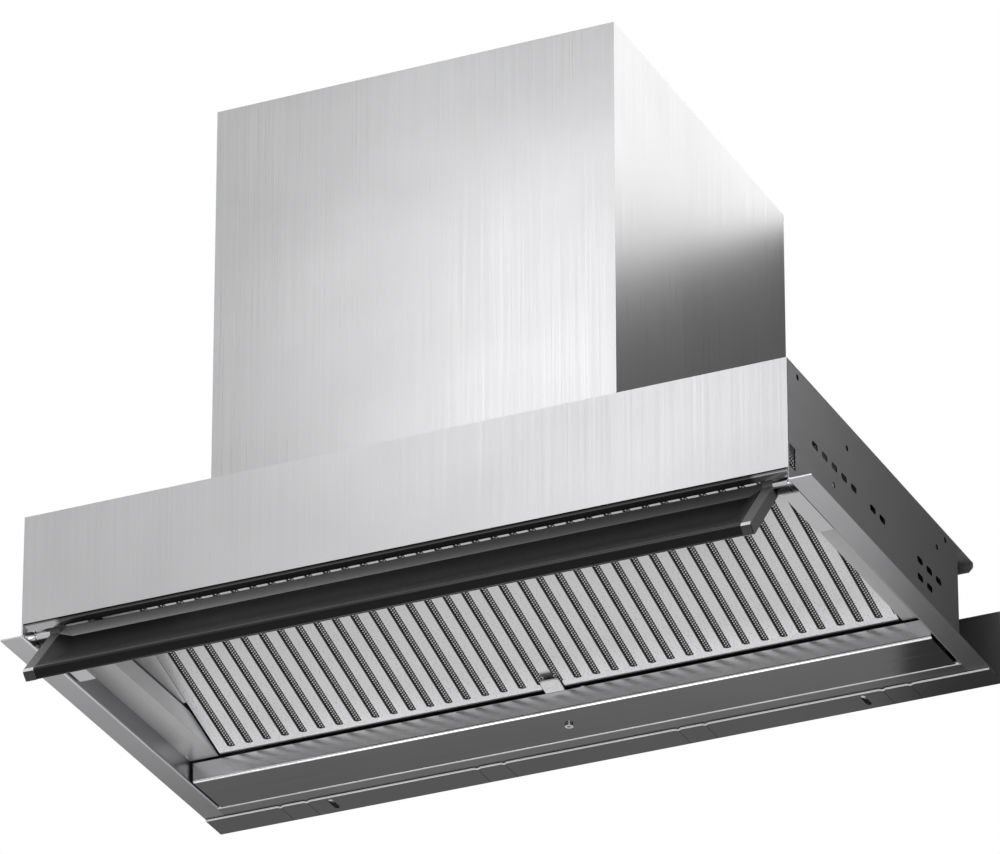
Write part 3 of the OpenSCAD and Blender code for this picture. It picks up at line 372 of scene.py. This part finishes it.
# End caps: painted highlight on the tip, as far as the outer side of the right cap; painted shade
# on the end
painted_light_and_tone(finish["cap"], 1.0, 7.0,
         where(beyond(VISOR_ALONG, CAP_TIP, CAP_BLEND), beyond(-X_AXIS, -CAP_SIDE)))
painted_light_and_tone(finish["cap"], 1.0, 0.05,
         where(beyond(VISOR_ALONG, CAP_END), beyond(VISOR_BACK, CAP_EDGE)))

# Hinge barrels and studs: painted shade underneath and a painted highlight above; every other piece
# of this finish, higher up, gets the painted highlight too
painted_light_and_tone(finish["bright"], 0.04, 1.7, beyond(Z_AXIS, BARREL_LOW, BARREL_BLEND))

# Front panel: painted shade behind its skin; strip: painted shade at its top under the panel, and a
# painted dark reflection of the visor in its middle
painted_light_and_tone(finish["front"], 1.0, 0.08, beyond(Y_AXIS, PANEL_SKIN))
painted_light_and_tone(finish["strip"], 1.0, 0.4, beyond(Z_AXIS, STRIP_TOP))
painted_light_and_tone(finish["strip"], 0.22, 1.0, lambda tree: away_from_middle(tree, STRIP_REFLECTION_HALF))

# Walls: painted shade in the rims of the right wall's punched holes and window, painted light
# fading towards the rear, painted highlight on the left wall's lower edge
painted_light_and_tone(finish["wall"], 1.0, 0.08, where(beyond(X_AXIS, WALL_INNER), beyond(-X_AXIS, -WALL_OUTER)))
painted_light_and_tone(finish["wall"], 1.7, 0.72, beyond(Y_AXIS, 0.0, WALL_DEPTH))
painted_light_and_tone(finish["wall"], 1.0, 2.2, where(beyond(X_AXIS, -EDGE_OUTER), beyond(-X_AXIS, EDGE_INNER),
                                         beyond(-Z_AXIS, EDGE_LOW)))

# Liners and lamp panel: painted shadow at the top, where they meet the filter; painted light above
# the ledge, painted shade on and below it
painted_light_and_tone(finish["liner"], 1.0, 0.06, beyond(Z_AXIS, LINER_GAP, LINER_BLEND))
painted_light_and_tone(finish["liner"], 0.75, 1.2, beyond(Z_AXIS, LINER_LEDGE, LINER_BLEND))

# Baffles: painted shade in the gap beside the liner and above the filter's face
painted_light_and_tone(finish["baffle"], 1.0, 0.03, beyond(X_AXIS, BAFFLE_GAP_X))
painted_light_and_tone(finish["baffle"], 1.0, 0.05, beyond(FILTER_UP, FILTER_UP.dot(FILTER_REAR) + BAFFLE_ABOVE))

# Filter: painted light, brighter towards the rear; painted shade at its rear lip, at its right
# front corner and in the recess above its face; painted shadow beside its slots
painted_light_and_tone(finish["filter"], 1.0, 1.22, beyond(FILTER_BACK, FILTER_FADE_START, FILTER_FADE))
painted_light_and_tone(finish["filter"], 1.0, 0.06,
         beyond(FILTER_BACK, FILTER_BACK.dot(FILTER_REAR) - FILTER_LIP, FILTER_BLEND))
painted_light_and_tone(finish["filter"], 1.0, 0.10, slot_side_shadow)
painted_light_and_tone(finish["filter"], 1.0, 0.03,
         where(beyond(X_AXIS, FILTER_CORNER_X), beyond(-Y_AXIS, -FILTER_CORNER_Y)))
painted_light_and_tone(finish["filter"], 1.0, 0.12,
         beyond(FILTER_UP, FILTER_UP.dot(FILTER_REAR) + FILTER_ABOVE, FILTER_BLEND))

# Channel: painted light on its front wall, painted shade from the end of its bend back; rail:
# painted highlight on its front face
painted_light_and_tone(finish["channel"], 1.2, 0.145, beyond(Y_AXIS, CHANNEL_FRONT + 0.8 * CHANNEL_BEND))
painted_light_and_tone(finish["rail"], 4.0, 1.0, beyond(Y_AXIS, RAIL_FACE))

nodes_with = {
    "front": ("front_panel",),
    "strip": ("front_return",),
    "casing": ("casing_front", "casing_side_left", "casing_side_right"),
    "wall": ("side_wall_left", "side_wall_right"),
    "sheet": ("case_top", "filter_hanger_left", "filter_hanger_right", "casing_back", "casing_top",
              "motor_bracket"),
    "rail": ("case_back",),
    "liner": ("liner_left", "liner_right", "light_panel"),
    "baffle": ("filter_baffle_left", "filter_baffle_right"),
    "cover": ("hinge_cover_left", "hinge_cover_right"),
    "channel": ("rear_channel",),
    "filler": ("rear_filler",),
    "bright": ("hinge_stud_left", "hinge_stud_right", "visor_barrel_left", "visor_barrel_right",
               "flap_pin", "filter_pegs", "latch_spring", "motor_shaft"),
    "screw": ("channel_screw", "casing_screws", "motor_screws", "filler_screws"),
    "filter": ("filter_face", "filter_frame"),
    "mesh": ("filter_back",),
    "mesh_deep": ("filter_mesh",),
    "dark": ("control_box", "cable_gland", "duct_collar", "latch_cover", "flap_front", "flap_rear"),
    "blower": ("scroll_wrap", "scroll_side_left", "scroll_side_right", "impeller"),
    "motor": ("fan_motor",),
    "lamp": ("light_bar",),
    "lens": ("light_lens",),
    "visor": ("visor_tray",),
    "gloss": ("visor_lip",),
    "cap": ("visor_cap_left", "visor_cap_right"),
    "latch": ("filter_latch",),
}
finish_of = {node: key for key, group in nodes_with.items() for node in group}

for name, obj in nodes.items():
    obj.data.materials.clear()
    obj.data.materials.append(finish[finish_of[name]])


# ---------------------------------------------------------------- edges

FINE_ROUNDING = 0.25 * MM
BEND_ROUNDING = 0.4 * MM
SHARP_ANGLE = math.radians(40)


def soften(name, width, segments=2):
    """Small rounding of a node's edges, shown only."""
    mod = nodes[name].modifiers.new("edge", "BEVEL")
    mod.width = width
    mod.segments = segments
    mod.limit_method = "ANGLE"
    mod.angle_limit = SHARP_ANGLE
    mod.use_clamp_overlap = True


for name in ("front_panel", "casing_front", "casing_side_left", "casing_side_right", "visor_tray",
             "visor_cap_left", "visor_cap_right", "hinge_cover_left", "hinge_cover_right",
             "rear_filler"):
    soften(name, FINE_ROUNDING)
for name in ("rear_channel", "liner_left", "liner_right", "side_wall_left", "side_wall_right"):
    soften(name, BEND_ROUNDING, 3)


# ---------------------------------------------------------------- pieces made here

def mesh_object(name, bm, key):
    """Object of a finished bmesh, with one finish."""
    mesh = bpy.data.meshes.new(name)
    bm.to_mesh(mesh)
    bm.free()
    obj = bpy.data.objects.new(name, mesh)
    bpy.context.scene.collection.objects.link(obj)
    obj.data.materials.append(finish[key])
    return obj


def join_rings(bm, before, after, closed=True):
    """Faces between two rings, or two open rows, of as many points."""
    count = len(before)
    for k in range(count if closed else count - 1):
        bm.faces.new((before[k], before[(k + 1) % count], after[(k + 1) % count], after[k]))


def filter_point(x, y, z):
    """Point of the filter, drawn flat, in the row frame."""
    c, s = math.cos(FILTER_TILT), math.sin(FILTER_TILT)
    return FILTER_REAR + Vector((x, y * c + z * s, -y * s + z * c))


def expanded_mesh():
    """Strands of expanded metal that run behind every slot, each a folded ribbon."""
    bm = bmesh.new()
    y_start = -SLOT_REAR + STRAND_PAST_END
    y_end = -(FILTER_LENGTH - SLOT_FRONT) - STRAND_PAST_END
    count = int((y_start - y_end) / STRAND_STEP)
    for i in range(SLOT_COUNT):
        centre = (i - (SLOT_COUNT - 1) / 2) * SLOT_PITCH
        for k in range(STRANDS):
            mid = centre + (k - (STRANDS - 1) / 2) * STRAND_PITCH
            previous = None
            for j in range(count + 1):
                y = y_start - j * STRAND_STEP
                side = 1 if (j + k) % 2 == 0 else -1
                x = mid + side * STRAND_SWING
                z = STRAND_LEVEL + STRAND_RISE * side
                pair = (bm.verts.new(filter_point(x - STRAND_RIBBON / 2, y, z)),
                        bm.verts.new(filter_point(x + STRAND_RIBBON / 2, y, z + STRAND_RISE)))
                if previous:
                    join_rings(bm, previous, pair, closed=False)
                previous = pair
    obj = mesh_object("slot_mesh", bm, "mesh")
    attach(obj, "filter")


expanded_mesh()


# ---------------------------------------------------------------- strip below the front panel

def front_strip():
    """Curved strip that leans back under the panel, with the web that carries it."""
    bm = bmesh.new()
    start = math.radians(STRIP_ANGLE)
    centre = STRIP_START + STRIP_RADIUS * Vector((0, math.cos(start), math.sin(start)))
    outline = []
    for radius, order in ((STRIP_RADIUS, range(STRIP_TURNS + 1)),
                          (STRIP_RADIUS - STRIP_SHEET, range(STRIP_TURNS, -1, -1))):
        for k in order:
            angle = start + math.radians(STRIP_SWEEP) * k / STRIP_TURNS
            outline.append((centre.y - radius * math.cos(angle),
                            centre.z - radius * math.sin(angle)))
    web_low = STRIP_START.z - STRIP_SHEET / 2
    web_high = STRIP_START.z + STRIP_WEB
    web = [(STRIP_SHEET, web_low), (2 * STRIP_SHEET, web_low),
           (2 * STRIP_SHEET, web_high), (STRIP_SHEET, web_high)]
    for section in (outline, web):
        ends = [[bm.verts.new((x, y, z)) for y, z in section] for x in (-STRIP_HALF, STRIP_HALF)]
        join_rings(bm, *ends)
        bm.faces.new(ends[0][::-1])
        bm.faces.new(ends[1])
    bmesh.ops.recalc_face_normals(bm, faces=bm.faces)
    obj = mesh_object("front_strip", bm, "strip")
    for face in obj.data.polygons:
        face.use_smooth = len(face.vertices) == 4
    obj.data.set_sharp_from_angle(angle=STRIP_SHARP)
    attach(obj, "case")
    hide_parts("front_return")


front_strip()


# ---------------------------------------------------------------- folded spring of the latch

def folded_spring():
    """Zigzag leaf spring behind the latch's stem; its shape stays fixed as the latch slides."""
    length = SPRING_END - SPRING_START
    bends = [(SPRING_HALF_WIDTH * (-1 if i % 2 == 0 else 1),
              -SPRING_START - i * length / SPRING_FOLDS) for i in range(SPRING_FOLDS + 1)]
    bm = bmesh.new()
    previous = None
    for x, y in bends:
        ring = [bm.verts.new(filter_point(x + dx, y, SPRING_LOW + dz))
                for dx, dz in ((-SPRING_SHEET, 0), (SPRING_SHEET, 0), (SPRING_SHEET, SPRING_HEIGHT),
                               (-SPRING_SHEET, SPRING_HEIGHT))]
        if previous:
            join_rings(bm, previous, ring)
        else:
            bm.faces.new(ring[::-1])
        previous = ring
    bm.faces.new(previous)
    bmesh.ops.recalc_face_normals(bm, faces=bm.faces)
    obj = mesh_object("folded_spring", bm, "bright")
    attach(obj, "filter")
    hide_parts("latch_spring")
    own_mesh(obj)


folded_spring()


# ---------------------------------------------------------------- painted highlight on the front edge of the filler

def filler_edge_highlight():
    """Painted highlight: bright strip along the filler's front and underside, round its break-off
    notches.
    """
    path = [(-FILLER_HALF, 0.0)]
    for i in range(NOTCH_COUNT):
        for side in (-1, 1):
            x = (i - (NOTCH_COUNT - 1) / 2) * NOTCH_STEP + side * NOTCH_PAIR / 2
            path += [(x - NOTCH_HALF, 0.0), (x, NOTCH_DEPTH), (x + NOTCH_HALF, 0.0)]
    path.append((FILLER_HALF, 0.0))
    profile = [(-EDGE_PROUD, EDGE_WIDTH), (-EDGE_PROUD, -EDGE_PROUD), (EDGE_WIDTH, -EDGE_PROUD)]
    bm = bmesh.new()
    previous = None
    for x, back in path:
        ring = [bm.verts.new((x, FILLER_FRONT + back + y, FILLER_LOW + z)) for y, z in profile]
        if previous:
            join_rings(bm, previous, ring, closed=False)
        previous = ring
    bmesh.ops.recalc_face_normals(bm, faces=bm.faces)
    obj = mesh_object("filler_edge_highlight", bm, "edge")
    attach(obj, "filler")


filler_edge_highlight()


# ---------------------------------------------------------------- stage and light

STAGE_NOISE = (0.4, 0.4, 0.4)
FLOOR_HALF = 30.0
FLOOR_Z = -3.4
CARD_LEFT, CARD_RIGHT = 0.16, 2.2
CARD_Y = 0.50
CARD_LOW, CARD_HIGH = -0.6, 0.486


def stage_sheet(name, corners, grey, seen):
    """Plain sheet around the object, seen by the camera or only in reflections."""
    mesh = bpy.data.meshes.new(name)
    mesh.from_pydata(corners, [], [(0, 1, 2, 3)])
    obj = bpy.data.objects.new(name, mesh)
    bpy.context.scene.collection.objects.link(obj)
    mat, tree, shader = new_material(name)
    soft = noise_at(tree, STAGE_NOISE)
    tree.links.new(tinted(tree, (grey, grey, grey), spread(tree, soft, 0.98, 1.02)),
                   shader.inputs["Base Color"])
    shader.inputs["Roughness"].default_value = 0.8
    obj.data.materials.append(mat)
    obj.visible_camera = seen


stage_sheet("floor", [(-FLOOR_HALF, -FLOOR_HALF, FLOOR_Z), (FLOOR_HALF, -FLOOR_HALF, FLOOR_Z),
                      (FLOOR_HALF, FLOOR_HALF, FLOOR_Z), (-FLOOR_HALF, FLOOR_HALF, FLOOR_Z)],
            0.80, seen=True)
stage_sheet("grey_card", [(CARD_LEFT, CARD_Y, CARD_LOW), (CARD_RIGHT, CARD_Y, CARD_LOW),
                          (CARD_RIGHT, CARD_Y, CARD_HIGH), (CARD_LEFT, CARD_Y, CARD_HIGH)],
            0.25, seen=False)


def area_light(name, place, aim, width, height, power):
    data = bpy.data.lights.new(name, "AREA")
    data.shape = "RECTANGLE"
    data.size = width
    data.size_y = height
    data.energy = power
    obj = bpy.data.objects.new(name, data)
    obj.location = place
    obj.rotation_euler = (Vector(aim) - Vector(place)).to_track_quat("-Z", "Y").to_euler()
    obj.visible_camera = False
    bpy.context.scene.collection.objects.link(obj)


# Name, place, aim, width, height and power
area_light("key", (-0.20, -2.3, 1.40), (0.05, 0.1, 0.12), 0.9, 0.9, 2.0)
area_light("front_glow", (-0.27, -1.0, 0.66), (0.1, 0.0, 0.10), 0.4, 0.4, 1.4)
area_light("rear_right", (0.42, 0.75, 0.93), (0.15, 0.17, 0.33), 0.7, 0.6, 1.9)
area_light("under", (-0.25, 0.7, -1.6), (0.0, 0.15, 0.0), 1.3, 1.0, 1.5)
area_light("low_rear", (-0.50, 1.22, -0.85), (-0.2, 0.1, 0.0), 1.0, 0.6, 0.9)
area_light("low_front", (-0.73, -0.15, -1.84), (0.0, 0.15, 0.0), 0.5, 0.5, 4.0)
area_light("fill", (0.92, -1.87, -0.99), (0.0, 0.15, 0.0), 0.6, 0.6, 11.5)


def studio_world():
    """White where the world is seen or mirrored; soft light, weaker from behind, elsewhere."""
    world = bpy.data.worlds.new("studio")
    bpy.context.scene.world = world
    world.use_nodes = True
    tree = world.node_tree
    tree.nodes.clear()
    out = tree.nodes.new("ShaderNodeOutputWorld")
    rays = tree.nodes.new("ShaderNodeLightPath")
    seen = tree.nodes.new("ShaderNodeBackground")
    lit = tree.nodes.new("ShaderNodeBackground")
    for background in (seen, lit):
        background.inputs["Color"].default_value = (1, 1, 1, 1)
    seen.inputs["Strength"].default_value = 1.0
    coords = tree.nodes.new("ShaderNodeTexCoord")
    axes = tree.nodes.new("ShaderNodeSeparateXYZ")
    tree.links.new(coords.outputs["Generated"], axes.inputs["Vector"])
    depth = tree.nodes.new("ShaderNodeMapRange")
    depth.interpolation_type = "SMOOTHSTEP"
    for key, value in (("From Min", 0.30), ("From Max", 0.85), ("To Min", 0.62), ("To Max", 0.16)):
        depth.inputs[key].default_value = value
    tree.links.new(axes.outputs["Y"], depth.inputs["Value"])
    tree.links.new(depth.outputs["Result"], lit.inputs["Strength"])
    direct = rays.outputs["Is Camera Ray"]
    for ray in ("Is Glossy Ray", "Is Transmission Ray"):
        either = tree.nodes.new("ShaderNodeMath")
        either.operation = "MAXIMUM"
        tree.links.new(direct, either.inputs[0])
        tree.links.new(rays.outputs[ray], either.inputs[1])
        direct = either.outputs["Value"]
    mix = tree.nodes.new("ShaderNodeMixShader")
    tree.links.new(direct, mix.inputs["Fac"])
    tree.links.new(lit.outputs["Background"], mix.inputs[1])
    tree.links.new(seen.outputs["Background"], mix.inputs[2])
    tree.links.new(mix.outputs["Shader"], out.inputs["Surface"])


studio_world()

scene = bpy.context.scene
scene.view_settings.view_transform = "Standard"


# ---------------------------------------------------------------- camera

azimuth, elevation = math.radians(CAMERA_AZIMUTH), math.radians(CAMERA_ELEVATION)
direction = Vector((math.sin(azimuth) * math.cos(elevation),
                    -math.cos(azimuth) * math.cos(elevation), math.sin(elevation)))
cam_data = bpy.data.cameras.new("camera")
cam_data.sensor_width = SENSOR_WIDTH
cam_data.lens = CAMERA_LENS
cam_data.clip_end = 100
camera = bpy.data.objects.new("camera", cam_data)
camera.location = CAMERA_TARGET + CAMERA_DISTANCE * direction
camera.rotation_euler = (-direction).to_track_quat("-Z", "Y").to_euler()
scene.collection.objects.link(camera)
scene.camera = camera

bpy.context.view_layer.update()
